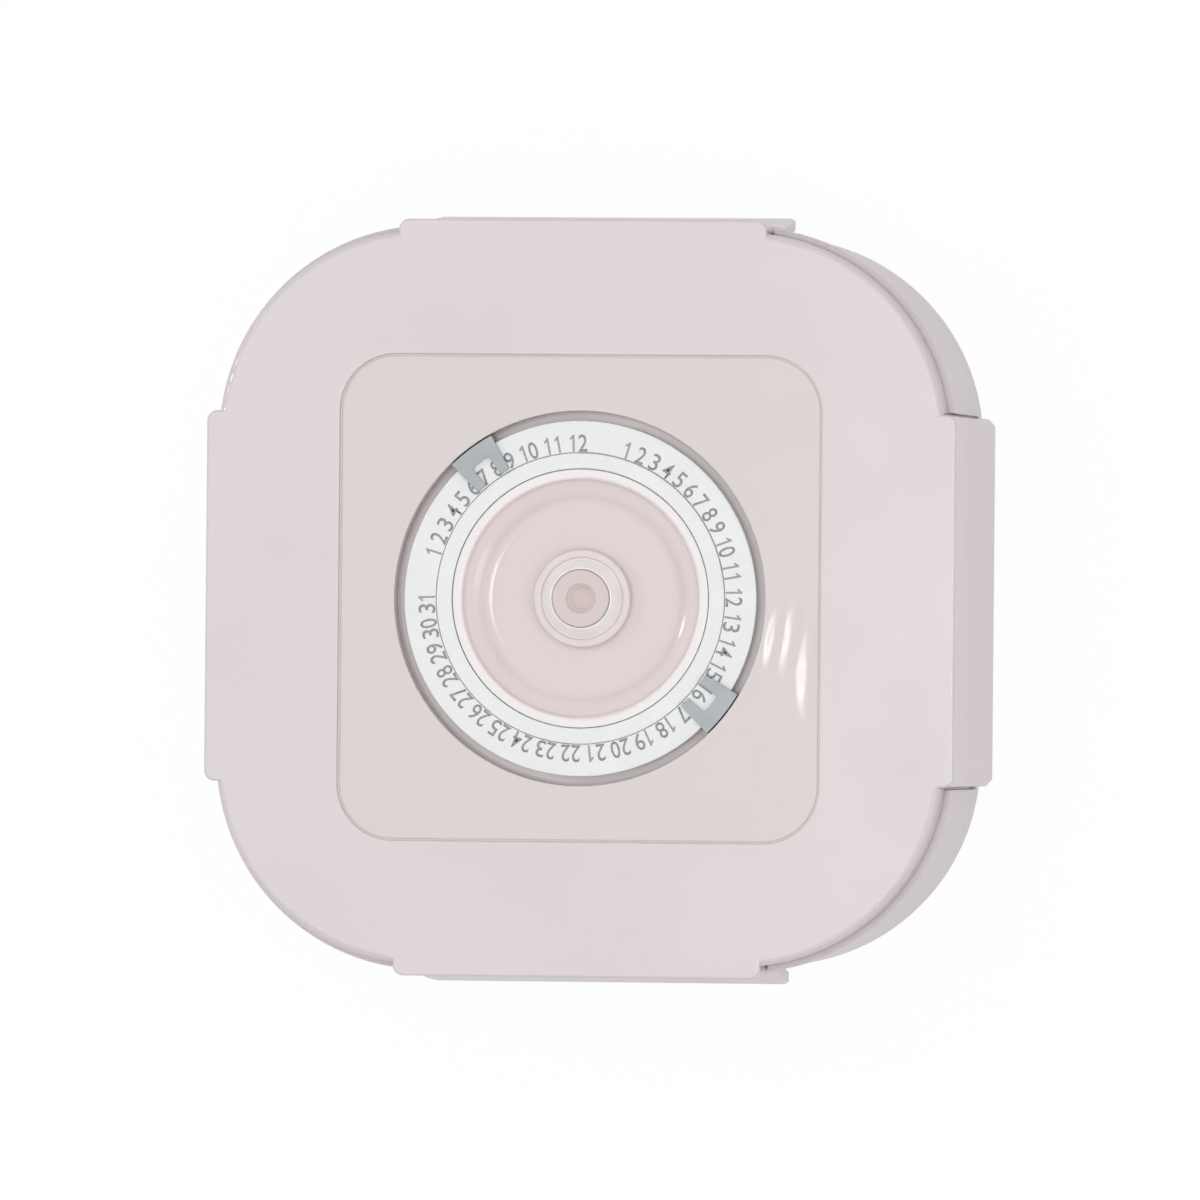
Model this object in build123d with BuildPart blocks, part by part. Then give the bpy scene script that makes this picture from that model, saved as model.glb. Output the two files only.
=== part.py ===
from build123d import *

import os

os.makedirs("parts", exist_ok=True)

# A square vacuum canister: a tub, a lid held by four hinged latches, a date dial and a one-way valve.
# Millimetres, +Z up, origin in the middle of the tub's underside.
# Names that end in depth are measured down from the lid's top face, and reach is measured out from
# the middle towards a side. Every outline with round corners shares the same four corner centres.

# Whole object
lid_top = 75.0
corner_centre = 34.0
side_count = 4
overrun = 1.0
seam_gap = 0.3
pin_gap = 0.06
press_gap = 0.02

# Lid moulding
lid_half = 77.5
lid_side_depth = 8.0
lid_plate_t = 2.8
lid_edge_r = 1.4
channel_wall_t = 3.0
plug_gap = 0.4
plug_t = 1.8
plug_depth = 12.0
rib_t = 1.6
liner_t = 1.8
panel_half = 51.5
panel_corner_r = 12.0
panel_depth = 0.5
panel_line_w = 0.5
panel_line_drop = 0.1

# Hinge tabs, lugs and pins, one row on each side
tab_overhang = 2.5
tab_length = 78.5
tab_root = 10.0
tab_t = 1.6
tab_end_r = 2.2
tab_edge_r = 0.5
hinge_setback = 2.6
hinge_drop = 0.4
knuckle_r = 1.6
pin_r = 0.8
pin_inset = 0.8
lug_inset = 9.25
lug_width = 6.0
lug_web = 1.0

# Latches
latch_end_gap = 0.2
latch_t = 2.0
latch_bend_depth = 30.0
latch_bend_r = 8.0
latch_flare = 2.8
latch_flare_drop = 22.0
latch_lip_r = 0.8
latch_corner_rise = 6.0
latch_corner_inset = 1.8
latch_end_t = 2.2
latch_end_lap = 0.2
latch_end_drop = 0.4
notch_gap = 1.0
catch_bite = 2.0
catch_t = 1.8
catch_inset = 7.0
catch_lead = 0.6

# Tub
rim_t = 1.7
rim_end_gap = 0.1
flange_overhang = 1.3
flange_t = 4.2
flange_edge_r = 0.6
flange_step = 0.3
wall_draft = 0.8
tub_floor_t = 3.2
tub_base_r = 14.0
tub_inner_base_r = 11.0
foot_inset = 12.0
foot_rise = 0.8
latch_bay_gap = 0.4
latch_bay_end_gap = 0.5
latch_bay_drop = 4.0
pocket_gap = 0.4
pocket_height = 4.0

# Lid gasket
gasket_t = 2.2
gasket_side_gap = 0.1

# Dish in the middle of the lid, and the shell of the well round it
dish_mouth_r = 25.3
dish_mouth_edge_r = 0.7
dish_rim_w = 2.0
dish_rim_depth = 1.7
dish_lip_drop = 1.2
dish_lip_inset = 0.4
dish_lip_r = 2.0
dish_foot_inset = 3.2
dish_depth = 5.7
dish_floor_t = 2.0
dish_floor_r = 6.0
shell_t = 1.8

# Inner ring, date ring and the groove round them
ring_seat_gap = 0.15
ring_joint_gap = 0.1
inner_ring_w = 3.3
inner_ring_depth = 1.4
date_ring_w = 6.75
ring_depth = 1.5
ring_t = 1.4
ring_edge_r = 0.2
ring_lip = 1.6
groove_w = 2.05
groove_room = 1.0

# Pointers
pointer_lift = 0.1
pointer_sink = 0.1
pointer_inset = 0.45
pointer_half_angle = 7.6
window_end = 1.7
window_half_angle = 3.6
window_corner_r = 0.8
pointer_side_gap = 0.35
pointer_leg_gap = 0.4
pointer_foot_t = 1.2
month_turn = 126.9
day_turn = -38.2

# One-way valve in the middle of the dish; its rises are measured up from the dish floor
hub_r = 5.6
hub_gap = 0.2
vent_r = 0.6
vent_count = 4
knob_r = 6.1
knob_t = 1.05
knob_edge_r = 0.3
dimple_r = 3.05
dimple_edge_r = 0.45
dimple_slope = 0.9
dimple_drop = 3.2
boss_wall_t = 0.85
boss_floor_t = 1.0
boss_gap = 0.2
boss_room = 0.5
stem_r = 1.9
seal_t = 0.8
seal_gap = 0.05
seal_inset = 0.2
seat_rise = 2.0
collar_gap = 0.1
collar_lip_w = 0.3
collar_rise = 3.5
collar_edge_r = 0.2
collar_spread = 2.1
valley_w = 0.3
valley_rise = 1.5
bead_w = 1.8
bead_rise = 2.0
bead_edge_r = 0.45
washer_t = 0.6
washer_w = 1.9
nut_t = 2.4
nut_width = 17.0
nut_sides = 6
nut_gap = 0.05
nut_edge = 0.4
spring_room = 4.2
spring_gap = 0.35
spring_turns = 4
wire_r = 0.25
retainer_t = 1.2
retainer_lip = 0.65
retainer_edge = 0.3

# Worked out: the lid, the hinge line and the latches, from the lid's outline inwards
channel_half = lid_half - channel_wall_t
rib_depth = plug_depth - liner_t
tab_reach = lid_half + tab_overhang
hinge_reach = tab_reach - hinge_setback
hinge_depth = tab_t + hinge_drop + knuckle_r
hinge_z = lid_top - hinge_depth
bay_reach = hinge_reach - knuckle_r - seam_gap
bay_length = tab_length + 2 * seam_gap
lug_pitch = tab_length / 2 - lug_inset
lug_web_reach = hinge_reach + lug_web
latch_length = tab_length - 2 * latch_end_gap
latch_outer_reach = hinge_reach + knuckle_r
latch_inner_reach = latch_outer_reach - latch_t
latch_lip_reach = latch_outer_reach + latch_flare
latch_lip_depth = latch_bend_depth + latch_flare_drop
latch_end_reach = latch_inner_reach - latch_end_lap
latch_end_depth = hinge_depth + knuckle_r + latch_end_drop
catch_reach = latch_inner_reach - catch_bite
catch_length = latch_length - 2 * catch_inset

# Worked out: the tub and its rim
rim_half = channel_half - seam_gap
cavity_half = rim_half - rim_t
plug_half = cavity_half - plug_gap
rim_depth = lid_plate_t + gasket_t + rim_end_gap
flange_half = lid_half + flange_overhang
flange_depth = lid_side_depth + seam_gap
flange_under_depth = flange_depth + flange_t
wall_half = flange_half - flange_step
latch_bay_reach = latch_end_reach - latch_bay_gap
latch_bay_length = tab_length + 2 * latch_bay_end_gap
latch_bay_depth = latch_lip_depth + latch_bay_drop
catch_depth = flange_under_depth + seam_gap
pocket_reach = catch_reach - pocket_gap
pocket_length = catch_length + 2 * notch_gap
bay_cut = flange_half - pocket_reach + 2 * overrun
foot_half = wall_half - tub_base_r - foot_inset

# Worked out: the dial, from the dish outwards
dish_rim_r = dish_mouth_r + dish_rim_w
dish_throat_r = dish_mouth_r - dish_lip_inset
dish_throat_depth = dish_rim_depth + dish_lip_drop
dish_foot_r = dish_throat_r - dish_foot_inset
dish_under_depth = dish_depth + dish_floor_t
inner_ring_bore_r = dish_rim_r + ring_seat_gap
inner_ring_r = inner_ring_bore_r + inner_ring_w
date_ring_bore_r = inner_ring_r + ring_joint_gap
date_ring_r = date_ring_bore_r + date_ring_w
plateau_r = date_ring_r - ring_lip
plateau_depth = ring_depth + ring_t
well_r = date_ring_r + groove_w
well_lip_depth = (panel_depth + lid_plate_t) / 2
pointer_inner_r = date_ring_bore_r + pointer_inset
window_r = date_ring_r - window_end
leg_outer_r = well_r - pointer_side_gap
leg_inner_r = date_ring_r + pointer_leg_gap
foot_inner_r = plateau_r + pointer_leg_gap
pointer_top_depth = panel_depth + pointer_sink
pointer_under_depth = ring_depth - pointer_lift
pointer_foot_depth = plateau_depth + seam_gap
groove_depth = pointer_foot_depth + pointer_foot_t + groove_room

# Worked out: the valve, from the dish floor up and down
dish_hole_r = hub_r + hub_gap
washer_r = dish_hole_r + washer_w
washer_depth = dish_depth - washer_t
hub_end_depth = dish_under_depth + nut_t
collar_bore_r = knob_r + collar_gap
collar_foot_r = collar_bore_r + collar_spread
collar_depth = dish_depth - collar_rise
seat_depth = dish_depth - seat_rise
valley_depth = dish_depth - valley_rise
bead_inner_r = collar_foot_r + valley_w
bead_outer_r = bead_inner_r + bead_w
bead_depth = dish_depth - bead_rise
seal_depth = seat_depth - seal_gap - seal_t
seal_r = knob_r - seal_inset
knob_depth = seal_depth - knob_t
dimple_floor_r = dimple_r - dimple_slope
dimple_depth = knob_depth + dimple_drop
boss_r = dimple_r + boss_wall_t
boss_depth = dimple_depth + boss_floor_t
recess_r = boss_r + boss_gap
recess_depth = boss_depth + boss_room
vent_circle_r = (stem_r + recess_r) / 2
retainer_depth = hub_end_depth + spring_room
stem_end_depth = retainer_depth + retainer_t
spring_r = stem_r + spring_gap + wire_r
retainer_r = spring_r + wire_r + retainer_lip

lug_centres = [-lug_pitch, 0, lug_pitch]
side_names = ["right", "back", "left", "front"]
side_turns = [0, 90, 180, 270]


def level(depth):
    """A level plane at a depth below the lid's top face."""
    return Plane.XY.offset(lid_top - depth)


def across(place):
    """An upright plane at a place along Y, with X to the right and Z up."""
    return Plane.XZ.offset(-place)


def rounded(half, mode=Mode.ADD):
    """A square whose round corners share the object's corner centres."""
    RectangleRounded(2 * half, 2 * half, half - corner_centre, mode=mode)


def section(points):
    """A closed outline from distances out from the middle and depths below the lid's top."""
    Polygon(*[(reach, lid_top - depth) for reach, depth in points], align=None)


def round_corner(sketch, reach, depth, radius):
    """Rounds the corner of a section nearest to a point."""
    corner = sketch.vertices().sort_by_distance((reach, lid_top - depth))[0]
    fillet(corner, radius)


def sector(inner_r, outer_r, half_angle):
    """A piece of a flat ring, centred on +X."""
    with BuildLine() as outline:
        outer = CenterArc((0, 0), outer_r, -half_angle, 2 * half_angle)
        inner = CenterArc((0, 0), inner_r, -half_angle, 2 * half_angle)
        Line(outer @ 0, inner @ 0)
        Line(outer @ 1, inner @ 1)
    make_face(outline.edges())


def save(piece, name):
    """Labels a finished piece and writes its file."""
    piece.part.label = name
    export_step(piece.part, f"parts/{name}.step")


# The space inside the tub, with a wide round base.
with BuildPart() as cavity:
    with BuildSketch(level(rim_depth)):
        rounded(cavity_half)
    extrude(amount=rim_depth + tub_floor_t - lid_top, taper=wall_draft)
    fillet(cavity.edges().group_by(Axis.Z)[0], tub_inner_base_r)

# The tub: a drafted wall on a wide round base, a flange round its top, a rim that enters the lid,
# and on each side a shallow bay where a latch hangs, with a pocket for its catch.
with BuildPart() as container_body:
    with BuildSketch(level(flange_depth)):
        rounded(wall_half)
    extrude(amount=flange_depth - lid_top, taper=wall_draft)
    fillet(container_body.edges().group_by(Axis.Z)[0], tub_base_r)
    with BuildSketch(level(flange_depth)):
        rounded(flange_half)
    extrude(amount=-flange_t)
    fillet(
        container_body.faces().filter_by(Axis.Z).group_by(Axis.Z)[-1].edges(), flange_edge_r
    )
    with BuildSketch(level(flange_depth)):
        rounded(rim_half)
    extrude(amount=flange_depth - rim_depth)
    with BuildSketch(level(flange_depth)):
        with PolarLocations(latch_bay_reach + bay_cut / 2, side_count):
            Rectangle(bay_cut, latch_bay_length)
    extrude(amount=flange_depth - latch_bay_depth, mode=Mode.SUBTRACT)
    with BuildSketch(level(flange_under_depth)):
        with PolarLocations(pocket_reach + bay_cut / 2, side_count):
            Rectangle(bay_cut, pocket_length)
    extrude(amount=-pocket_height, mode=Mode.SUBTRACT)
    add(cavity.part, mode=Mode.SUBTRACT)
    with BuildSketch(Plane.XY):
        RectangleRounded(2 * foot_half, 2 * foot_half, foot_half - corner_centre)
    extrude(amount=foot_rise, mode=Mode.SUBTRACT)
save(container_body, "container_body")

# One hinge row on the +X side: the tab that roofs the latch, and the lugs that hold the pin.
with BuildPart() as hinge_row:
    with BuildSketch(level(0)):
        with Locations((tab_reach - tab_root / 2, 0)):
            RectangleRounded(tab_root, tab_length, tab_end_r)
    extrude(amount=-tab_t)
    fillet(hinge_row.faces().sort_by(Axis.Z)[-1].edges(), tab_edge_r)
    for centre in lug_centres:
        with BuildSketch(across(centre - lug_width / 2)):
            section(
                [
                    (bay_reach - tab_t, tab_t / 2),
                    (lug_web_reach, tab_t / 2),
                    (lug_web_reach, hinge_depth),
                    (hinge_reach, hinge_depth),
                    (hinge_reach, hinge_depth + knuckle_r),
                    (bay_reach - tab_t / 2, hinge_depth + knuckle_r),
                    (bay_reach - tab_t / 2, tab_t),
                    (bay_reach - tab_t, tab_t),
                ]
            )
            with Locations((hinge_reach, hinge_z)):
                Circle(knuckle_r)
        extrude(amount=-lug_width)
    with BuildSketch(Plane.XZ):
        with Locations((hinge_reach, hinge_z)):
            Circle(pin_r + press_gap)
    extrude(amount=tab_length, both=True, mode=Mode.SUBTRACT)

# The lid: a plate with an outer skirt, a plug that enters the tub, ribs, a sunk panel, and the
# round well for the dial with the dish in its middle.
with BuildPart() as lid_plate:
    with BuildSketch(level(0)):
        rounded(lid_half)
    extrude(amount=-lid_side_depth)
    fillet(lid_plate.faces().sort_by(Axis.Z)[-1].edges(), lid_edge_r)
    with BuildSketch(level(lid_side_depth)):
        rounded(channel_half)
    extrude(amount=lid_side_depth - lid_plate_t, mode=Mode.SUBTRACT)
    with BuildSketch(level(lid_side_depth)):
        with PolarLocations(bay_reach + bay_cut / 2, side_count):
            Rectangle(bay_cut, bay_length)
    extrude(amount=lid_side_depth - tab_t, mode=Mode.SUBTRACT)
    for turn in side_turns:
        add(hinge_row.part, rotation=(0, 0, turn))
    with BuildSketch(level(lid_plate_t)):
        rounded(plug_half)
        rounded(plug_half - plug_t, mode=Mode.SUBTRACT)
    extrude(amount=lid_plate_t - plug_depth)
    with BuildSketch(level(lid_plate_t)):
        for turn in range(side_count):
            Rectangle(4 * lid_half, rib_t, rotation=turn * 180 / side_count)
        rounded(plug_half - plug_t / 2, mode=Mode.INTERSECT)
        Circle(well_r + shell_t / 2, mode=Mode.SUBTRACT)
    extrude(amount=lid_plate_t - rib_depth)
    with BuildSketch(level(0)):
        RectangleRounded(2 * panel_half, 2 * panel_half, panel_corner_r)
    extrude(amount=-panel_depth, mode=Mode.SUBTRACT)
    with BuildSketch(level(panel_depth)):
        inside = panel_half - panel_line_w
        RectangleRounded(2 * panel_half, 2 * panel_half, panel_corner_r)
        RectangleRounded(2 * inside, 2 * inside, panel_corner_r - panel_line_w, mode=Mode.SUBTRACT)
    extrude(amount=-panel_line_drop, mode=Mode.SUBTRACT)
    with BuildSketch(level(0)):
        Circle(well_r)
    extrude(amount=-lid_plate_t, mode=Mode.SUBTRACT)
    with BuildSketch(Plane.XZ) as well:
        section(
            [
                (well_r + shell_t, well_lip_depth),
                (well_r, well_lip_depth),
                (well_r, groove_depth),
                (plateau_r, groove_depth),
                (plateau_r, plateau_depth),
                (dish_rim_r, plateau_depth),
                (dish_rim_r, dish_rim_depth),
                (dish_mouth_r, dish_rim_depth),
                (dish_throat_r, dish_throat_depth),
                (dish_foot_r, dish_depth),
                (dish_hole_r, dish_depth),
                (dish_hole_r, dish_under_depth),
                (dish_foot_r, dish_under_depth),
                (dish_throat_r + shell_t, plateau_depth + shell_t),
                (plateau_r - shell_t, plateau_depth + shell_t),
                (plateau_r - shell_t, groove_depth + shell_t),
                (well_r + shell_t, groove_depth + shell_t),
            ]
        )
        round_corner(well, dish_foot_r, dish_depth, dish_floor_r)
        round_corner(well, dish_throat_r, dish_throat_depth, dish_lip_r)
        round_corner(well, dish_mouth_r, dish_rim_depth, dish_mouth_edge_r)
    revolve(axis=Axis.Z)
save(lid_plate, "lid_plate")

# The inner plate that closes the ribbed underside, from the plug to the valve.
with BuildPart() as lid_liner:
    with BuildSketch(level(rib_depth)):
        rounded(plug_half - plug_t - press_gap)
        Circle(bead_outer_r + seam_gap, mode=Mode.SUBTRACT)
    extrude(amount=rib_depth - plug_depth)
save(lid_liner, "lid_liner")

# The soft ring in the lid's channel, which the tub's rim meets.
with BuildPart() as lid_gasket:
    with BuildSketch(level(lid_plate_t)):
        rounded(channel_half - gasket_side_gap)
        rounded(plug_half + gasket_side_gap, mode=Mode.SUBTRACT)
    extrude(amount=-gasket_t)
save(lid_gasket, "lid_gasket")

# One latch on the +X side: a plate that hangs from the pin and flares at its lip, closed ends, and
# a catch that reaches under the tub's flange.
with BuildPart() as latch_form:
    with BuildSketch(Plane.XZ) as plate:
        section(
            [
                (latch_outer_reach, hinge_depth),
                (latch_outer_reach, latch_bend_depth),
                (latch_lip_reach, latch_lip_depth),
                (latch_lip_reach - latch_t, latch_lip_depth),
                (latch_inner_reach, latch_bend_depth),
                (latch_inner_reach, hinge_depth),
            ]
        )
        round_corner(plate, latch_outer_reach, latch_bend_depth, latch_bend_r)
        round_corner(plate, latch_inner_reach, latch_bend_depth, latch_bend_r + latch_t)
        round_corner(plate, latch_lip_reach, latch_lip_depth, latch_lip_r)
        round_corner(plate, latch_lip_reach - latch_t, latch_lip_depth, latch_lip_r)
        with Locations((hinge_reach, hinge_z)):
            Circle(knuckle_r)
    extrude(amount=latch_length / 2, both=True)
    for end in (-1, 1):
        with BuildSketch(across(end * latch_length / 2)):
            section(
                [
                    (latch_end_reach, latch_end_depth),
                    (latch_outer_reach - latch_t / 2, latch_end_depth),
                    (latch_outer_reach - latch_t / 2, latch_bend_depth),
                    (latch_lip_reach - latch_t / 2, latch_lip_depth - latch_lip_r),
                    (latch_lip_reach - latch_t, latch_lip_depth - latch_lip_r),
                    (latch_end_reach, latch_bend_depth),
                ]
            )
        extrude(amount=end * latch_end_t)
    with BuildSketch(Plane.XZ):
        section(
            [
                (latch_inner_reach + latch_t / 2, catch_depth),
                (catch_reach, catch_depth),
                (catch_reach, catch_depth + catch_t - catch_lead),
                (catch_reach + catch_lead, catch_depth + catch_t),
                (latch_inner_reach + latch_t / 2, catch_depth + catch_t),
            ]
        )
    extrude(amount=catch_length / 2, both=True)
    with BuildSketch(Plane.YZ):
        half = latch_length / 2
        section(
            [
                (-half, 0),
                (half, 0),
                (half, latch_lip_depth - latch_corner_rise),
                (half - latch_corner_inset, latch_lip_depth),
                (latch_corner_inset - half, latch_lip_depth),
                (-half, latch_lip_depth - latch_corner_rise),
            ]
        )
    extrude(amount=latch_lip_reach + overrun, mode=Mode.INTERSECT)
    for centre in lug_centres:
        notch = lug_width + 2 * seam_gap
        with BuildSketch(across(centre - notch / 2)):
            with Locations((hinge_reach, hinge_z)):
                Circle(knuckle_r + notch_gap)
        extrude(amount=-notch, mode=Mode.SUBTRACT)
    with BuildSketch(Plane.XZ):
        with Locations((hinge_reach, hinge_z)):
            Circle(pin_r + pin_gap)
    extrude(amount=latch_length, both=True, mode=Mode.SUBTRACT)

# One steel pin on the +X side.
with BuildPart() as pin_form:
    with BuildSketch(Plane.XZ):
        with Locations((hinge_reach, hinge_z)):
            Circle(pin_r)
    extrude(amount=latch_length / 2 - pin_inset, both=True)

# The four latches and their pins stand a quarter turn apart.
for side, turn in zip(side_names, side_turns):
    with BuildPart() as latch:
        add(latch_form.part, rotation=(0, 0, turn))
    save(latch, f"latch_{side}")
    with BuildPart() as hinge_pin:
        add(pin_form.part, rotation=(0, 0, turn))
    save(hinge_pin, f"hinge_pin_{side}")

# The flat ring that carries the numbers, with a free lip over the groove.
with BuildPart() as date_ring:
    with BuildSketch(level(ring_depth)):
        Circle(date_ring_r)
        Circle(date_ring_bore_r, mode=Mode.SUBTRACT)
    extrude(amount=-ring_t)
    fillet(date_ring.faces().sort_by(Axis.Z)[-1].edges(), ring_edge_r)
save(date_ring, "date_ring")

# The plain ring between the numbers and the dish.
with BuildPart() as inner_ring:
    with BuildSketch(level(inner_ring_depth)):
        Circle(inner_ring_r)
        Circle(inner_ring_bore_r, mode=Mode.SUBTRACT)
    extrude(amount=inner_ring_depth - plateau_depth)
    fillet(inner_ring.faces().sort_by(Axis.Z)[-1].edges(), ring_edge_r)
save(inner_ring, "inner_ring")

# One pointer on +X: a flat bridge with a window that is open inwards, a leg down the groove, and
# a foot that hooks under the date ring's lip.
with BuildPart() as pointer_form:
    with BuildSketch(level(pointer_top_depth)):
        sector(pointer_inner_r, leg_outer_r, pointer_half_angle)
        with BuildSketch(mode=Mode.SUBTRACT) as window:
            sector(pointer_inner_r - overrun, window_r, window_half_angle)
            fillet(window.vertices().group_by(Axis.X)[-1], window_corner_r)
    extrude(amount=pointer_top_depth - pointer_under_depth)
    with BuildSketch(level(pointer_top_depth)):
        sector(leg_inner_r, leg_outer_r, pointer_half_angle)
    extrude(amount=pointer_top_depth - pointer_foot_depth - pointer_foot_t)
    with BuildSketch(level(pointer_foot_depth)):
        sector(foot_inner_r, leg_outer_r, pointer_half_angle)
    extrude(amount=-pointer_foot_t)

for name, turn in (("month_pointer", month_turn), ("day_pointer", day_turn)):
    with BuildPart() as pointer:
        add(pointer_form.part, rotation=(0, 0, turn))
    save(pointer, name)

# The valve's body: a bead on the dish floor, a sloping collar round the knob, and a hub that goes
# down through the floor, with a recess for the knob's boss and vents below it.
with BuildPart() as valve_housing:
    with BuildSketch(Plane.XZ) as body:
        section(
            [
                (stem_r + pin_gap, recess_depth),
                (recess_r, recess_depth),
                (recess_r, seat_depth),
                (collar_bore_r, seat_depth),
                (collar_bore_r, collar_depth),
                (collar_bore_r + collar_lip_w, collar_depth),
                (collar_foot_r, valley_depth),
                (bead_inner_r, valley_depth),
                (bead_inner_r, bead_depth),
                (bead_outer_r, bead_depth),
                (bead_outer_r, dish_depth),
                (collar_foot_r, dish_depth),
                (collar_foot_r, washer_depth),
                (hub_r, washer_depth),
                (hub_r, hub_end_depth),
                (stem_r + pin_gap, hub_end_depth),
            ]
        )
        round_corner(body, collar_bore_r + collar_lip_w, collar_depth, collar_edge_r)
        round_corner(body, bead_inner_r, bead_depth, bead_edge_r)
        round_corner(body, bead_outer_r, bead_depth, bead_edge_r)
    revolve(axis=Axis.Z)
    with BuildSketch(level(recess_depth)):
        with PolarLocations(vent_circle_r, vent_count):
            Circle(vent_r)
    extrude(amount=recess_depth - hub_end_depth, mode=Mode.SUBTRACT)
save(valve_housing, "valve_housing")

# The soft washer between the valve's body and the dish floor.
with BuildPart() as valve_gasket:
    with BuildSketch(level(washer_depth)):
        Circle(washer_r)
        Circle(dish_hole_r, mode=Mode.SUBTRACT)
    extrude(amount=-washer_t)
save(valve_gasket, "valve_gasket")

# The nut on the hub, under the dish floor.
with BuildPart() as valve_nut:
    with BuildSketch(level(dish_under_depth)):
        RegularPolygon(nut_width / 2, nut_sides, major_radius=False)
        Circle(hub_r + nut_gap, mode=Mode.SUBTRACT)
    extrude(amount=dish_under_depth - hub_end_depth)
    chamfer(valve_nut.faces().sort_by(Axis.Z)[0].outer_wire().edges(), nut_edge)
save(valve_nut, "valve_nut")

# The knob: a flat disc with a dimple in a boss, and the stem below it, in one piece.
with BuildPart() as valve_knob:
    with BuildSketch(Plane.XZ) as knob:
        section(
            [
                (0, dimple_depth),
                (dimple_floor_r, dimple_depth),
                (dimple_r, knob_depth),
                (knob_r, knob_depth),
                (knob_r, seal_depth),
                (boss_r, seal_depth),
                (boss_r, boss_depth),
                (stem_r, boss_depth),
                (stem_r, stem_end_depth),
                (0, stem_end_depth),
            ]
        )
        round_corner(knob, knob_r, knob_depth, knob_edge_r)
        round_corner(knob, dimple_r, knob_depth, dimple_edge_r)
    revolve(axis=Axis.Z)
save(valve_knob, "valve_knob")

# The soft ring under the knob, which closes the gap round the boss.
with BuildPart() as valve_seal:
    with BuildSketch(level(seal_depth)):
        Circle(seal_r)
        Circle(boss_r, mode=Mode.SUBTRACT)
    extrude(amount=-seal_t)
save(valve_seal, "valve_seal")

# The button pressed on the stem's end, which the spring pushes down.
with BuildPart() as valve_retainer:
    with BuildSketch(level(retainer_depth)):
        Circle(retainer_r)
        Circle(stem_r, mode=Mode.SUBTRACT)
    extrude(amount=-retainer_t)
    chamfer(valve_retainer.faces().sort_by(Axis.Z)[0].outer_wire().edges(), retainer_edge)
save(valve_retainer, "valve_retainer")

# The return spring on the stem, between the hub and the retainer.
with BuildPart() as valve_spring:
    coil_height = retainer_depth - hub_end_depth - 2 * wire_r
    with BuildLine():
        coil = Helix(
            coil_height / spring_turns,
            coil_height,
            spring_r,
            center=(0, 0, lid_top - retainer_depth + wire_r),
        )
    with BuildSketch(Plane(origin=coil @ 0, z_dir=coil % 0)):
        Circle(wire_r)
    sweep()
save(valve_spring, "valve_spring")
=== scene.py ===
import math

import bmesh
import bpy
from mathutils import Matrix, Vector


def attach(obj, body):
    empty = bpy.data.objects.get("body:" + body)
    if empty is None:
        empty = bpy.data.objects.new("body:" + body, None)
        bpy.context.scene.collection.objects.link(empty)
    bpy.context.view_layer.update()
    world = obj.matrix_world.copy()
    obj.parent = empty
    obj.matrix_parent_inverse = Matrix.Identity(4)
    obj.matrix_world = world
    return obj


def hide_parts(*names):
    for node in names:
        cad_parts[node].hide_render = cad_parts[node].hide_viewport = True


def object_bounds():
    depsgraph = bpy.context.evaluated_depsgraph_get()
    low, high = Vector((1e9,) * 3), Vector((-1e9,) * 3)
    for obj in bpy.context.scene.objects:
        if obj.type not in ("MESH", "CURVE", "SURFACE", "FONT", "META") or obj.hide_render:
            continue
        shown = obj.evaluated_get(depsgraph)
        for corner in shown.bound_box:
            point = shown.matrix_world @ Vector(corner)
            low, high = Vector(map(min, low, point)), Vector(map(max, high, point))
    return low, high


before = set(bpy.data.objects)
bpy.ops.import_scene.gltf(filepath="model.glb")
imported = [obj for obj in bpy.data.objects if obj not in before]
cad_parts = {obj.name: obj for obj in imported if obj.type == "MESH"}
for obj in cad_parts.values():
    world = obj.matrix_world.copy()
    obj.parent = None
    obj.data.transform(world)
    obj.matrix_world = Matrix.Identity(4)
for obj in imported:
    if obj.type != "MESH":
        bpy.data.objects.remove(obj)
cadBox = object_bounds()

mm = 0.001
lidTop = cadBox[1][2]


def colour(red, green, blue):
    # a colour as it is read off a screen, 0 to 255, for a shader's socket
    def linear(value):
        share = value / 255
        return share / 12.92 if share <= 0.04045 else ((share + 0.055) / 1.055) ** 2.4
    return (linear(red), linear(green), linear(blue), 1.0)


class Wire:
    # a node's output that can be used in sums
    def __init__(self, finish, socket):
        self.finish, self.socket = finish, socket

    def __sub__(self, other):
        return self.finish.maths("SUBTRACT", self, other)

    def __rsub__(self, other):
        return self.finish.maths("SUBTRACT", other, self)

    def __mul__(self, other):
        return self.finish.maths("MULTIPLY", self, other)

    __rmul__ = __mul__


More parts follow.
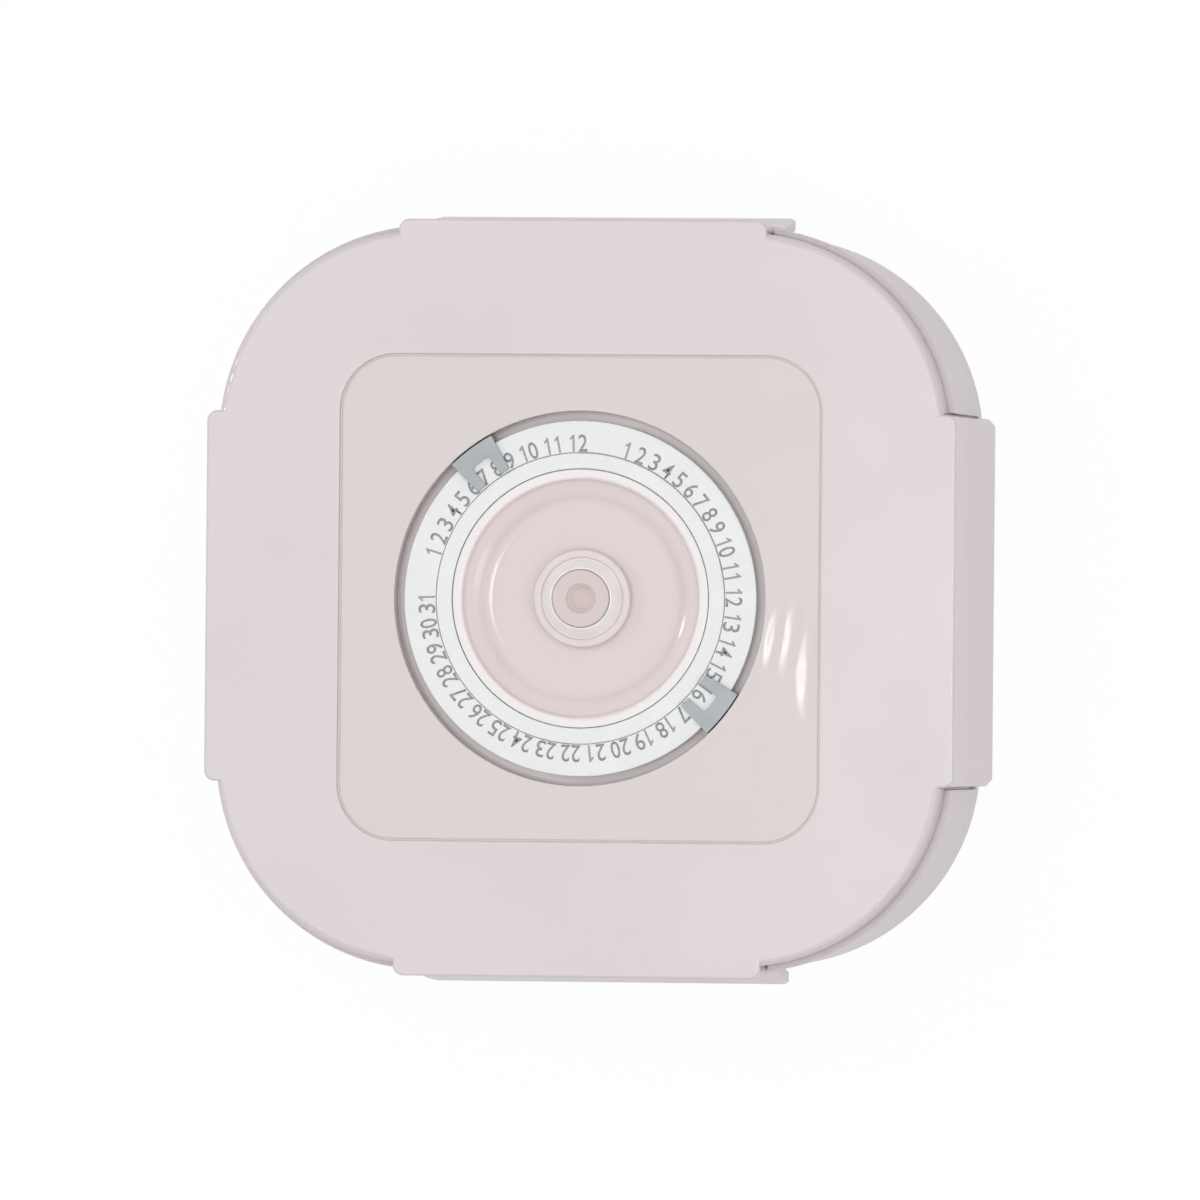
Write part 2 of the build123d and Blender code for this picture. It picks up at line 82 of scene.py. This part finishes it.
class Finish:
    # the nodes of one material or world, and the links between them
    def __init__(self, holder):
        holder.use_nodes = True
        self.holder = holder
        self.tree = holder.node_tree
        self.tree.nodes.clear()

    def node(self, kind, settings, sockets, output=0):
        made = self.tree.nodes.new(kind)
        for key, value in settings.items():
            setattr(made, key, value)
        for key, value in sockets.items():
            if isinstance(value, Wire):
                self.tree.links.new(value.socket, made.inputs[key])
            else:
                made.inputs[key].default_value = value
        return Wire(self, made.outputs[output]) if made.outputs else made

    def maths(self, operation, a, b):
        return self.node("ShaderNodeMath", {"operation": operation}, {0: a, 1: b})

    def vector(self, operation, a, b=(0.0, 0.0, 0.0)):
        return self.node("ShaderNodeVectorMath", {"operation": operation}, {0: a, 1: b})

    def length(self, value):
        return self.node("ShaderNodeVectorMath", {"operation": "LENGTH"}, {0: value}, "Value")

    def ray(self, kind):
        return self.node("ShaderNodeLightPath", {}, {}, kind)

    def place(self):
        return self.node("ShaderNodeTexCoord", {}, {}, "Object")

    def plan(self):
        # the place as it is seen from above, without its height
        return self.vector("MULTIPLY", self.place(), (1.0, 1.0, 0.0))

    def noise(self, scale, detail, rough=0.5):
        return self.node("ShaderNodeTexNoise", {}, {
            "Vector": self.place(), "Scale": scale, "Detail": detail, "Roughness": rough})

    def spread(self, value, fromLow, fromHigh, toLow, toHigh):
        return self.node("ShaderNodeMapRange", {"clamp": True, "interpolation_type": "SMOOTHSTEP"}, {
            "Value": value, "From Min": fromLow, "From Max": fromHigh, "To Min": toLow, "To Max": toHigh})

    def past(self, value, edge, blend):
        # 0 short of an edge and 1 beyond it, blended over a short way
        return self.spread(value, edge - blend, edge + blend, 0.0, 1.0)

    def patches(self, kind, low=0.0, high=1.0):
        # low between the patches and high on them
        scale, detail, rough, start, end = kind
        return self.spread(self.noise(scale, detail, rough), start, end, low, high)

    def mix(self, factor, first, second):
        return self.node("ShaderNodeMix", {"data_type": "RGBA"}, {0: factor, 6: first, 7: second}, 2)

    def rounded(self, radius):
        # a normal that softens the sharp edges of the CAD pieces
        return self.node("ShaderNodeBevel", {"samples": 4}, {"Radius": radius})

    def bump(self, height, strength, depth, under=None):
        sockets = {"Height": height, "Strength": strength, "Distance": depth}
        if under is not None:
            sockets["Normal"] = under
        return self.node("ShaderNodeBump", {}, sockets)

    def clouded(self, lot):
        # a body colour that clouds into a second one
        return self.mix(self.patches(lot["clouds"]), colour(*lot["body"]), colour(*lot["cloud"]))

    def rubbed(self, lot):
        # a roughness that changes in rubbed patches
        return self.patches(lot["rubs"], *lot["gloss"])

    def grained(self, lot):
        # a normal with a fine grain, over softened edges where the lot has them
        under = self.rounded(lot["edge"]) if "edge" in lot else None
        return self.bump(self.noise(*lot["grain"]), lot["skin"], lot["depth"], under)

    def surface(self, body, rough, normal, others):
        shader = self.node("ShaderNodeBsdfPrincipled", {}, {
            "Base Color": body, "Roughness": rough, "Normal": normal, **others})
        self.node("ShaderNodeOutputMaterial", {}, {"Surface": shader})
        return self.holder


def newFinish(name):
    return Finish(bpy.data.materials.new(name))


# In every finish, patches such as clouds, specks and rubs are noise: its scale per metre, detail and
# roughness, and the two levels between which the patches fade in. Grain is noise's scale and detail.

# Pink-white moulded plastic: what its lots share, then the lots of the tub, lid, latches and liner
moulding = {"clouds": (26.0, 3.0, 0.5, 0.35, 0.70), "rubs": (70.0, 6.0, 0.6, 0.30, 0.75),
            "specks": (2600.0, 2.0, 0.5, 0.62, 0.78), "speckled": 0.5,
            "grain": (900.0, 2.0), "depth": 0.02 * mm, "index": 1.49}
plastics = {
    "tubPlastic": {"body": (213, 201, 203), "cloud": (211, 199, 201), "speck": (214, 203, 205),
                   "gloss": (0.30, 0.33), "skin": 0.005, "edge": 0.25 * mm, "shine": 0.35},
    "lidPlastic": {"body": (211, 202, 201), "cloud": (208, 199, 198), "speck": (213, 205, 204),
                   "gloss": (0.13, 0.20), "skin": 0.03, "edge": 0.30 * mm, "shine": 0.5,
                   "clouds": (24.0, 3.0, 0.5, 0.35, 0.70)},
    "latchPlastic": {"body": (223, 211, 213), "cloud": (221, 209, 211), "speck": (224, 213, 215),
                     "gloss": (0.30, 0.33), "skin": 0.005, "edge": 0.25 * mm, "shine": 0.35},
    "linerPlastic": {"body": (230, 226, 224), "cloud": (224, 219, 217), "speck": (234, 231, 229),
                     "gloss": (0.30, 0.42), "skin": 0.15, "edge": 0.20 * mm, "shine": 0.4},
}
# The lid's zones from the outside in: the sunk panel is a little warmer than the rim; the well round the
# dial is paler, painted light that lifts the shade in its groove; and the dish floor is pinker, with a wall
# painted paler to lift the wall's shade
lidZones = {"panelHalf": 51.5 * mm, "panelCorner": 12.0 * mm, "panel": (208, 198, 197), "blend": 0.3 * mm,
            # painted light: the well's paleness lifts the groove's shade, the wall's paleness lifts the dish
            # wall's shade
            "rings": [(39.0 * mm, (230, 224, 223), 0.3 * mm), (25.4 * mm, (229, 216, 214), 0.3 * mm),
                      (22.3 * mm, (212, 199, 197), 1.3 * mm)]}
# Shallow sink marks on the panel right of the dial: middle, half size and lean, and how deep they are
sinkMarks = {"depth": 0.14 * mm, "spots": [
    ((41.6, -8.4), (2.2, 8.4), -10.0), ((45.2, -8.6), (2.6, 9.4), -9.0), ((48.8, -15.4), (2.8, 12.4), -1.0)]}


def lidColours(made, body):
    # the lid's colour with its zones laid over it, two of which are painted light lifting the shade in the
    # groove and on the dish wall
    centre = lidZones["panelHalf"] - lidZones["panelCorner"]
    corner = made.vector("SUBTRACT", made.vector("ABSOLUTE", made.plan()), (centre, centre, 0.0))
    reach = made.length(made.vector("MAXIMUM", corner))
    beyond = made.past(reach, lidZones["panelCorner"], lidZones["blend"])
    body = made.mix(beyond, colour(*lidZones["panel"]), body)
    away = made.length(made.plan())
    for edge, shade, blend in lidZones["rings"]:
        body = made.mix(made.past(away, edge, blend), colour(*shade), body)
    return body


def sinkHeight(made):
    # 1 on the flat and 0 in the middle of a mark
    total = 1.0
    for (x, y), (halfWidth, halfLength), lean in sinkMarks["spots"]:
        spot = made.node("ShaderNodeMapping", {"vector_type": "TEXTURE"}, {
            "Vector": made.place(), "Location": (x * mm, y * mm, lidTop),
            "Rotation": (0.0, 0.0, math.radians(lean)), "Scale": (halfWidth * mm, halfLength * mm, 1.0)})
        total = total - made.spread(made.length(spot), 0.0, 1.0, 1.0, 0.0)
    return total


def mouldedPlastic(name):
    lot = {**moulding, **plastics[name]}
    made = newFinish(name)
    body, normal = made.clouded(lot), made.grained(lot)
    if name == "lidPlastic":
        body = lidColours(made, body)
        normal = made.bump(sinkHeight(made), 1.0, sinkMarks["depth"], normal)
    body = made.mix(made.patches(lot["specks"], 0.0, lot["speckled"]), body, colour(*lot["speck"]))
    return made.surface(body, made.rubbed(lot), normal,
                        {"IOR": lot["index"], "Specular IOR Level": lot["shine"]})


# The valve's lot from the middle out: the dimple's floor and its wall, painted paler to lift the shade in
# the hole, the pink knob, the collar round it, a pale plastic painted whiter still as the sheen its slope
# catches, and the bead that stands in the dish
valve = {"body": (205, 190, 187), "blend": 0.12 * mm,
         # painted light: the dimple wall's pale ring lifts the hole's shade; the collar's white is partly
         # painted sheen
         "rings": [(2.1 * mm, (236, 226, 224)), (2.95 * mm, (203, 188, 185)),
                   (6.15 * mm, (237, 232, 232)), (8.45 * mm, (213, 203, 201))],
         "clouds": (90.0, 3.0, 0.5, 0.35, 0.70), "clouded": 0.25, "rubs": (140.0, 6.0, 0.6, 0.30, 0.75),
         "gloss": (0.14, 0.22), "grain": (900.0, 2.0), "skin": 0.03, "depth": 0.02 * mm,
         "edge": 0.15 * mm, "shader": {"IOR": 1.49, "Specular IOR Level": 0.6}}


def valvePlastic():
    made = newFinish("valvePlastic")
    away = made.length(made.plan())
    body = colour(*valve["body"])
    # the rings include painted light on the dimple's wall and painted sheen on the collar
    for edge, shade in valve["rings"]:
        body = made.mix(made.past(away, edge, valve["blend"]), body, colour(*shade))
    body = made.mix(made.patches(valve["clouds"], 0.0, valve["clouded"]), body, colour(*valve["body"]))
    return made.surface(body, made.rubbed(valve), made.grained(valve), valve["shader"])


# Grey ink that lies in patches on the dial
ink = {"body": (142, 144, 146), "cloud": (158, 160, 161), "clouds": (2200.0, 3.0, 0.5, 0.30, 0.75),
       "gloss": (0.45, 0.60), "skin": 0.2, "depth": 0.01 * mm, "shader": {"IOR": 1.5}}


def printInk():
    made = newFinish("printInk")
    thin = made.patches(ink["clouds"])
    body = made.mix(thin, colour(*ink["body"]), colour(*ink["cloud"]))
    rough = made.spread(thin, 0.0, 1.0, *ink["gloss"])
    return made.surface(body, rough, made.bump(thin, ink["skin"], ink["depth"]), ink["shader"])


# The dial's white, the pointers' blue grey, the soft rings' rubber, and the wire of pins and spring
smallLots = {
    "dialWhite": {"body": (226, 226, 225), "cloud": (223, 223, 222),
                  "clouds": (1500.0, 3.0, 0.5, 0.35, 0.70), "rubs": (120.0, 5.0, 0.5, 0.30, 0.70),
                  "gloss": (0.34, 0.50), "grain": (1500.0, 3.0), "skin": 0.1, "depth": 0.02 * mm,
                  "edge": 0.15 * mm, "shader": {"IOR": 1.5}},
    "pointerGrey": {"body": (165, 171, 173), "cloud": (158, 164, 166),
                    "clouds": (160.0, 3.0, 0.5, 0.30, 0.70), "rubs": (260.0, 5.0, 0.5, 0.30, 0.70),
                    "gloss": (0.32, 0.46), "grain": (1300.0, 2.0), "skin": 0.25, "depth": 0.02 * mm,
                    "edge": 0.15 * mm, "shader": {"IOR": 1.5}},
    "siliconeRubber": {"body": (226, 226, 224), "cloud": (210, 211, 210),
                       "clouds": (1800.0, 4.0, 0.5, 0.40, 0.75), "rubs": (90.0, 3.0, 0.5, 0.30, 0.70),
                       "gloss": (0.45, 0.62), "grain": (1800.0, 4.0), "skin": 0.2, "depth": 0.03 * mm,
                       "shader": {"IOR": 1.41, "Subsurface Weight": 0.25, "Subsurface Scale": 1.5 * mm}},
    "brushedSteel": {"body": (196, 198, 200), "cloud": (170, 172, 175),
                     "clouds": (1400.0, 4.0, 0.5, 0.30, 0.70), "rubs": (1400.0, 4.0, 0.5, 0.30, 0.70),
                     "gloss": (0.20, 0.36), "grain": (1400.0, 4.0), "skin": 0.15, "depth": 0.01 * mm,
                     "shader": {"Metallic": 1.0}},
}


def smallFinish(name):
    lot, made = smallLots[name], newFinish(name)
    return made.surface(made.clouded(lot), made.rubbed(lot), made.grained(lot), lot["shader"])


finishes = {"valvePlastic": valvePlastic(), "printInk": printInk()}
finishes.update({name: mouldedPlastic(name) for name in plastics})
finishes.update({name: smallFinish(name) for name in smallLots})
nodeFinishes = {
    "container_body": "tubPlastic", "lid_plate": "lidPlastic", "lid_liner": "linerPlastic",
    "date_ring": "dialWhite", "inner_ring": "dialWhite",
    "month_pointer": "pointerGrey", "day_pointer": "pointerGrey",
    "valve_housing": "valvePlastic", "valve_knob": "valvePlastic",
    "valve_nut": "linerPlastic", "valve_retainer": "linerPlastic", "valve_spring": "brushedSteel",
}
for side in ("right", "back", "left", "front"):
    nodeFinishes["latch_" + side] = "latchPlastic"
    nodeFinishes["hinge_pin_" + side] = "brushedSteel"
for node, finish in nodeFinishes.items():
    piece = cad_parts[node]
    piece.data.materials.clear()
    piece.data.materials.append(finishes[finish])
print("finishes on the CAD nodes:", len(nodeFinishes))

# What the new pieces share: how close points are merged, and past how many degrees an edge stays sharp
modelling = {"merge": 0.0005 * mm, "sharp": 50}


def newPiece(name, bm, finish, body):
    # writes a bmesh to a named piece that sits at the origin and rides on a body
    bmesh.ops.remove_doubles(bm, verts=bm.verts, dist=modelling["merge"])
    bmesh.ops.recalc_face_normals(bm, faces=bm.faces)
    mesh = bpy.data.meshes.new(name)
    bm.to_mesh(mesh)
    bm.free()
    mesh.materials.append(finishes[finish])
    piece = bpy.data.objects.new(name, mesh)
    bpy.context.scene.collection.objects.link(piece)
    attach(piece, body)
    return piece


def softEdges(piece):
    # smooth shading that keeps the sharp edges
    for face in piece.data.polygons:
        face.use_smooth = True
    piece.data.set_sharp_from_angle(angle=math.radians(modelling["sharp"]))


def profileLoop(bm, points):
    # a closed outline in the XZ plane, from (x, z) in millimetres
    verts = [bm.verts.new((x * mm, 0.0, z * mm)) for x, z in points]
    return [bm.edges.new((a, b)) for a, b in zip(verts, verts[1:] + verts[:1])]


def turnedPiece(points, steps):
    bm = bmesh.new()
    loop = profileLoop(bm, points)
    bmesh.ops.spin(bm, geom=loop, cent=(0, 0, 0), axis=(0, 0, 1), dvec=(0, 0, 0),
                   angle=math.tau, steps=steps, use_merge=True)
    return bm


# The numbers printed on the dial, in millimetres and degrees. Months are on the left and days round the
# rest, each with the bearing of its first number and how many there are
dial = {"top": 73.5, "ink": 0.03, "baseRadius": 31.0, "height": 3.6, "width": 1.9, "pitch": 2.2,
        "bold": 0.006, "curveSteps": 6, "singleStep": 5.67, "doubleStep": 9.41, "join": 7.6,
        "months": (163.2, 12), "days": (72.8, 31),
        "one": [(0.12, 0.0), (0.12, 1.0), (0.01, 1.0), (-0.02, 0.93), (-0.16, 0.81), (-0.16, 0.69),
                (0.0, 0.78), (0.0, 0.0)]}


def digitShape(digit):
    # one digit with its foot on the X axis, centred, with the dial's digit height and width
    bm = bmesh.new()
    if digit == "1":
        bm.faces.new([bm.verts.new((x, y, 0.0)) for x, y in dial["one"]])
        width = dial["height"]
    else:
        curve = bpy.data.curves.new("digit", "FONT")
        curve.body = digit
        curve.offset = dial["bold"]
        curve.resolution_u = dial["curveSteps"]
        letter = bpy.data.objects.new("digit", curve)
        bpy.context.scene.collection.objects.link(letter)
        bpy.context.view_layer.update()
        mesh = bpy.data.meshes.new_from_object(letter)
        bm.from_mesh(mesh)
        bpy.data.objects.remove(letter)
        bpy.data.curves.remove(curve)
        bpy.data.meshes.remove(mesh)
        places = [v.co.x for v in bm.verts]
        bmesh.ops.translate(bm, vec=(-(min(places) + max(places)) / 2, 0, 0), verts=bm.verts)
        width = dial["width"] / (max(places) - min(places))
    heights = [v.co.y for v in bm.verts]
    bmesh.ops.translate(bm, vec=(0, -min(heights), 0), verts=bm.verts)
    tall = dial["height"] / (max(heights) - min(heights))
    bmesh.ops.scale(bm, vec=(width * mm, tall * mm, 1), verts=bm.verts)
    shape = bpy.data.meshes.new("digit" + digit)
    bm.to_mesh(shape)
    bm.free()
    return shape


def dialNumbers():
    bm = bmesh.new()
    shapes = {digit: digitShape(digit) for digit in "0123456789"}
    for start, count in (dial["months"], dial["days"]):
        for number in range(1, count + 1):
            angle = start - dial["singleStep"] * (min(number, 9) - 1)
            if number > 9:
                angle -= dial["join"] + dial["doubleStep"] * (number - 10)
            digits = str(number)
            turn = Matrix.Rotation(math.radians(angle - 90), 3, "Z")
            for place, digit in enumerate(digits):
                before = set(bm.verts)
                bm.from_mesh(shapes[digit])
                fresh = [v for v in bm.verts if v not in before]
                offset = (place - (len(digits) - 1) / 2) * dial["pitch"]
                bmesh.ops.translate(bm, vec=(offset * mm, dial["baseRadius"] * mm, 0), verts=fresh)
                bmesh.ops.rotate(bm, cent=(0, 0, 0), matrix=turn, verts=fresh)
    for shape in shapes.values():
        bpy.data.meshes.remove(shape)
    bmesh.ops.translate(bm, vec=(0, 0, dial["top"] * mm), verts=bm.verts)
    grown = bmesh.ops.extrude_face_region(bm, geom=bm.faces[:])
    raised = [v for v in grown["geom"] if isinstance(v, bmesh.types.BMVert)]
    bmesh.ops.translate(bm, vec=(0, 0, dial["ink"] * mm), verts=raised)
    newPiece("dialNumbers", bm, "printInk", "lid")


dialNumbers()
print("dial numbers placed")

# The soft ring in the lid's channel: round shoulders above and two lips on the tub's rim
seal = {"corner": 34.0, "inner": 38.25, "outer": 40.35, "top": 72.15, "bottom": 70.05,
        "shoulder": 0.35, "lip": 0.5, "cornerSteps": 24}


def lidSeal():
    low, high = seal["bottom"], seal["top"]
    inner, outer, soft = seal["inner"], seal["outer"], seal["shoulder"]
    middle = (inner + outer) / 2
    outline = [(inner, low + soft), (inner + soft, low), (middle - soft, low), (middle, low + seal["lip"]),
               (middle + soft, low), (outer - soft, low), (outer, low + soft),
               (outer, high - soft), (outer - soft, high), (inner + soft, high), (inner, high - soft)]
    bm = bmesh.new()
    corner = seal["corner"] * mm
    loop = profileLoop(bm, [(seal["corner"] + reach, height) for reach, height in outline])
    verts = list({v for edge in loop for v in edge.verts})
    bmesh.ops.translate(bm, vec=(0, -corner, 0), verts=verts)
    for turn in range(4):
        quarter = Matrix.Rotation(turn * math.pi / 2, 3, "Z")
        grown = bmesh.ops.extrude_edge_only(bm, edges=loop)["geom"]
        fresh = [v for v in grown if isinstance(v, bmesh.types.BMVert)]
        bmesh.ops.translate(bm, vec=quarter @ Vector((0, 2 * corner, 0)), verts=fresh)
        loop = [e for e in grown if isinstance(e, bmesh.types.BMEdge)]
        spun = bmesh.ops.spin(bm, geom=loop, cent=quarter @ Vector((corner, corner, 0)), axis=(0, 0, 1),
                              dvec=(0, 0, 0), angle=math.pi / 2, steps=seal["cornerSteps"])
        loop = [e for e in spun["geom_last"] if isinstance(e, bmesh.types.BMEdge)]
    piece = newPiece("lidSeal", bm, "siliconeRubber", "lid")
    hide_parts("lid_gasket")
    softEdges(piece)


# The soft washer under the valve's body and the soft ring under its knob, which has a lip at its rim
washer = {"bore": 5.82, "rim": 7.68, "low": 69.31, "high": 69.89, "round": 0.15, "steps": 72}
disc = {"bore": 3.92, "rim": 5.88, "low": 71.35, "high": 72.13, "round": 0.18, "lip": 0.1, "steps": 72}


def valveWasher():
    bore, rim, soft = washer["bore"], washer["rim"], washer["round"]
    low, high = washer["low"], washer["high"]
    outline = [(bore, low), (rim - soft, low), (rim, low + soft),
               (rim, high - soft), (rim - soft, high), (bore, high)]
    bm = turnedPiece(outline, washer["steps"])
    piece = newPiece("valveWasher", bm, "siliconeRubber", "lid")
    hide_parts("valve_gasket")
    softEdges(piece)


def valveDisc():
    bore, rim, soft = disc["bore"], disc["rim"], disc["round"]
    low, high = disc["low"], disc["high"]
    flat = low + disc["lip"]
    outline = [(bore, flat), (rim - 4 * soft, flat), (rim - 2 * soft, low), (rim - soft, low),
               (rim, low + soft), (rim, high - soft), (rim - soft, high), (bore, high)]
    bm = turnedPiece(outline, disc["steps"])
    piece = newPiece("valveDisc", bm, "siliconeRubber", "valve")
    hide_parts("valve_seal")
    softEdges(piece)


lidSeal()
valveWasher()
valveDisc()
print("soft pieces made")

# A pale floor that is white to the camera and keeps a soft shadow, and a sky that is brightest overhead
stage = {"floorHalf": 3.0, "floorGap": 0.1 * mm, "shadeSeen": 0.97, "shadeBounced": 0.8,
         "seenWhite": 0.96, "mirroredWhite": 0.6,
         "skyTint": (0.97, 0.98, 1.0, 1.0), "skyTop": 0.70, "skyEdge": 0.50, "skyHeight": 0.8}
white = (1.0, 1.0, 1.0, 1.0)


def paleFloor():
    bm = bmesh.new()
    bmesh.ops.create_grid(bm, x_segments=1, y_segments=1, size=stage["floorHalf"])
    mesh = bpy.data.meshes.new("floor")
    bm.to_mesh(mesh)
    bm.free()
    floor = bpy.data.objects.new("floor", mesh)
    bpy.context.scene.collection.objects.link(floor)
    floor.location.z = -stage["floorGap"]
    made = newFinish("floorPaper")
    seen = made.ray("Is Camera Ray")
    shade = made.mix(seen, (stage["shadeBounced"],) * 3 + (1.0,), (stage["shadeSeen"],) * 3 + (1.0,))
    paper = made.node("ShaderNodeBsdfDiffuse", {}, {"Color": shade})
    glow = made.node("ShaderNodeEmission", {}, {"Color": white, "Strength": 1.0})
    mirrored = made.maths("MAXIMUM", made.ray("Is Glossy Ray"), made.ray("Is Transmission Ray"))
    share = made.maths("MAXIMUM", seen * stage["seenWhite"], mirrored * stage["mirroredWhite"])
    both = made.node("ShaderNodeMixShader", {}, {0: share, 1: paper, 2: glow})
    made.node("ShaderNodeOutputMaterial", {}, {"Surface": both})
    mesh.materials.append(made.holder)


def studioSky():
    world = bpy.data.worlds.new("studio")
    bpy.context.scene.world = world
    made = Finish(world)
    towards = made.node("ShaderNodeTexCoord", {}, {}, "Generated")
    height = made.node("ShaderNodeSeparateXYZ", {}, {0: towards}, "Z")
    strength = made.node("ShaderNodeMapRange", {}, {
        "Value": height, "From Min": 0.0, "From Max": stage["skyHeight"],
        "To Min": stage["skyEdge"], "To Max": stage["skyTop"]})
    lit = made.node("ShaderNodeBackground", {}, {"Strength": strength, "Color": stage["skyTint"]})
    plain = made.node("ShaderNodeBackground", {}, {"Strength": 1.0, "Color": white})
    either = made.node("ShaderNodeMixShader", {}, {0: made.ray("Is Camera Ray"), 1: lit, 2: plain})
    made.node("ShaderNodeOutputWorld", {}, {"Surface": either})


paleFloor()
studioSky()

# Soft square lamps, in metres and watts: a wide one overhead and small ones that show as highlights
lamps = {
    "overhead": {"place": (-0.05, 0.10, 1.5), "size": 1.4, "power": 7.6},
    "window": {"place": (-1.2, 0.28, 0.75), "size": 0.16, "power": 1.8},
    "side": {"place": (1.1, -0.35, 0.9), "size": 0.6, "power": 2.0},
    "spot": {"place": (0.03, -0.02, 1.6), "size": 0.14, "power": 1.05},
}


def softLamps():
    for name, lamp in lamps.items():
        light = bpy.data.lights.new(name, "AREA")
        light.shape = "SQUARE"
        light.size = lamp["size"]
        light.energy = lamp["power"]
        piece = bpy.data.objects.new(name, light)
        piece.location = lamp["place"]
        piece.rotation_mode = "QUATERNION"
        piece.rotation_quaternion = (-Vector(lamp["place"])).to_track_quat("-Z", "Y")
        bpy.context.scene.collection.objects.link(piece)


softLamps()

# The camera looks almost straight down and leans a little to the right
camera = {"target": (0.0, 0.0, 0.075), "lean": 8.5, "bearing": -1.91, "roll": 0.52, "distance": 4.23,
          "focalPixels": 20035.0, "picture": 1200.0, "seenAt": (579.1, 598.4), "sensor": 36.0,
          "clip": (0.05, 20.0)}


def placeCamera():
    lean, bearing = math.radians(camera["lean"]), math.radians(camera["bearing"])
    away = Vector((math.sin(lean) * math.cos(bearing), math.sin(lean) * math.sin(bearing), math.cos(lean)))
    target = Vector(camera["target"])
    stand = target + away * camera["distance"]
    right = (-away).cross(Vector((0, 1, 0))).normalized()
    up = right.cross(-away)
    roll = math.radians(camera["roll"])
    right, up = (right * math.cos(roll) + up * math.sin(roll),
                 up * math.cos(roll) - right * math.sin(roll))
    middle = camera["picture"] / 2
    perPixel = camera["distance"] / camera["focalPixels"]
    aim = (target + right * (middle - camera["seenAt"][0]) * perPixel
           + up * (camera["seenAt"][1] - middle) * perPixel)
    back = (stand - aim).normalized()
    side = up.cross(back).normalized()
    top = back.cross(side)
    lens = bpy.data.cameras.new("camera")
    lens.sensor_width = camera["sensor"]
    lens.lens = camera["sensor"] * camera["focalPixels"] / camera["picture"]
    lens.clip_start, lens.clip_end = camera["clip"]
    piece = bpy.data.objects.new("camera", lens)
    bpy.context.scene.collection.objects.link(piece)
    piece.matrix_world = Matrix((
        (side.x, top.x, back.x, stand.x),
        (side.y, top.y, back.y, stand.y),
        (side.z, top.z, back.z, stand.z),
        (0, 0, 0, 1)))
    bpy.context.scene.camera = piece


placeCamera()
bpy.context.scene.view_settings.view_transform = "Standard"
print("stage, lamps and camera placed")
